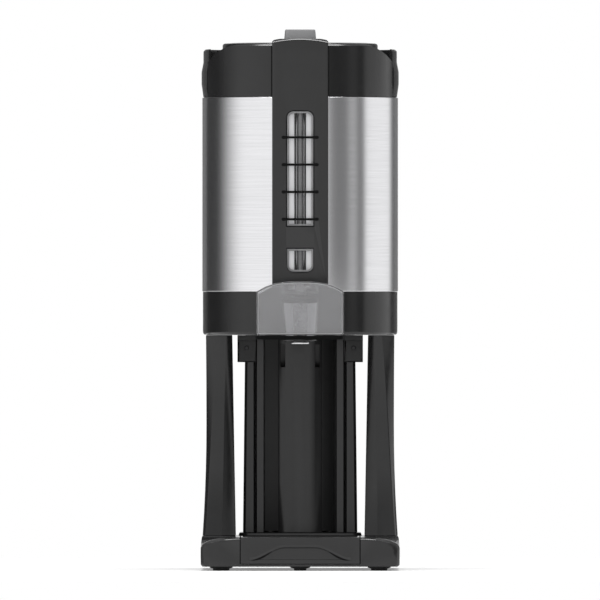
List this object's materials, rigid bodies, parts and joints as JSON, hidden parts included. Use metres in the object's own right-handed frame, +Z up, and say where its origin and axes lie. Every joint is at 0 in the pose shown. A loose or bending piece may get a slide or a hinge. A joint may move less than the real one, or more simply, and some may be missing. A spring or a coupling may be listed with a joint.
{
  "type": "coffee dispenser",
  "caption": "Tall insulated coffee dispenser: round brushed steel body with sight gauge and lever faucet, on an open black stand with drip tray.",
  "frame": {"origin": "on the table under the middle of the whole, at the middle of its width and depth", "axes": "+Z up, -Y towards the person who pours, +X to the right of that person"},
  "size_m": [0.226, 0.34, 0.6155],
  "materials": {
    "black_plastic": "satin moulded, fine grain",
    "dark_plastic": "matt moulded",
    "grey_plastic": "satin moulded",
    "smoke_plastic": "see-through smoke grey",
    "brushed_steel": "brushed around the body",
    "plain_steel": "plain stainless",
    "black_steel": "black oxide screws",
    "clear_glass": "clear tube",
    "rubber": "matt rubber",
    "silicone": "translucent white silicone"
  },
  "bodies": {
    "dispenser": {"base_frame": "black_plastic", "foot_front_left": "rubber", "foot_front_right": "rubber", "foot_back_left": "rubber", "foot_back_right": "rubber", "foot_middle": "rubber", "left_leg": "black_plastic", "right_leg": "black_plastic", "rear_column": "black_plastic", "column_back_cover": "black_plastic", "left_column_bracket": "dark_plastic", "right_column_bracket": "dark_plastic", "left_bracket_screw": "black_steel", "right_bracket_screw": "black_steel", "bottom_plate": "dark_plastic", "bottom_collar": "black_plastic", "flask_shell": "plain_steel", "inner_liner": "plain_steel", "liner_neck": "plain_steel", "front_wrap": "brushed_steel", "rear_wrap": "brushed_steel", "top_collar": "black_plastic", "rear_collar": "black_plastic", "top_deck": "dark_plastic", "lid_hinge_pin": "plain_steel", "latch_catch": "plain_steel", "spine": "black_plastic", "gauge_ribs": "dark_plastic", "gauge_tee": "dark_plastic", "lower_tube_seal": "silicone", "upper_tube_seal": "silicone", "sight_tube": "clear_glass", "tube_top_cap": "dark_plastic", "faucet_shank": "plain_steel", "shank_gasket": "silicone", "shank_nut": "plain_steel", "faucet_body": "plain_steel", "spout_ring": "black_plastic", "faucet_bonnet": "dark_plastic", "lever_pin": "plain_steel", "rear_cover": "black_plastic", "rear_handle": "black_plastic", "handle_screw_lower": "black_steel", "handle_screw_upper": "black_steel"},
    "lid": {"lid_cover": "black_plastic", "lid_liner": "dark_plastic", "lid_gasket": "silicone", "latch_pin": "plain_steel"},
    "latch": {"latch_tab": "grey_plastic"},
    "lever": {"dispense_lever": "smoke_plastic"},
    "valve": {"seat_cup": "silicone", "valve_stem": "plain_steel", "valve_spring": "plain_steel"},
    "tray": {"drip_tray": "black_plastic"},
    "grate": {"drip_grate": "black_plastic"}
  },
  "joints": [
    {"name": "lid_hinge", "type": "hinge", "parent": "dispenser", "child": "lid", "pos_m": [0, 0.122, 0.5955], "axis": [-1, 0, 0], "range_deg": [0, 100]},
    {"name": "latch_press", "type": "hinge", "parent": "lid", "child": "latch", "pos_m": [0, -0.0742, 0.5968], "axis": [-1, 0, 0], "range_deg": [0, 12], "stiffness_Nm_per_rad": 0.4, "springref_deg": -5.73},
    {"name": "lever_pull", "type": "hinge", "parent": "dispenser", "child": "lever", "pos_m": [0, -0.1163, 0.3182], "axis": [-1, 0, 0], "range_deg": [0, 20], "stiffness_Nm_per_rad": 0.8, "springref_deg": -8.59},
    {"name": "valve_lift", "type": "slide", "parent": "dispenser", "child": "valve", "axis": [0, 0, 1], "range_m": [0, 0.005], "deforming": ["valve_spring"]},
    {"name": "tray_pull", "type": "slide", "parent": "dispenser", "child": "tray", "axis": [0, -1, 0], "range_m": [0, 0.18]},
    {"name": "grate_lift", "type": "slide", "parent": "tray", "child": "grate", "axis": [0, 0, 1], "range_m": [0, 0.06]}
  ],
  "couplings": [
    {"joint": "valve_lift", "follows": "lever_pull", "m_per_rad": 0.0125}
  ]
}
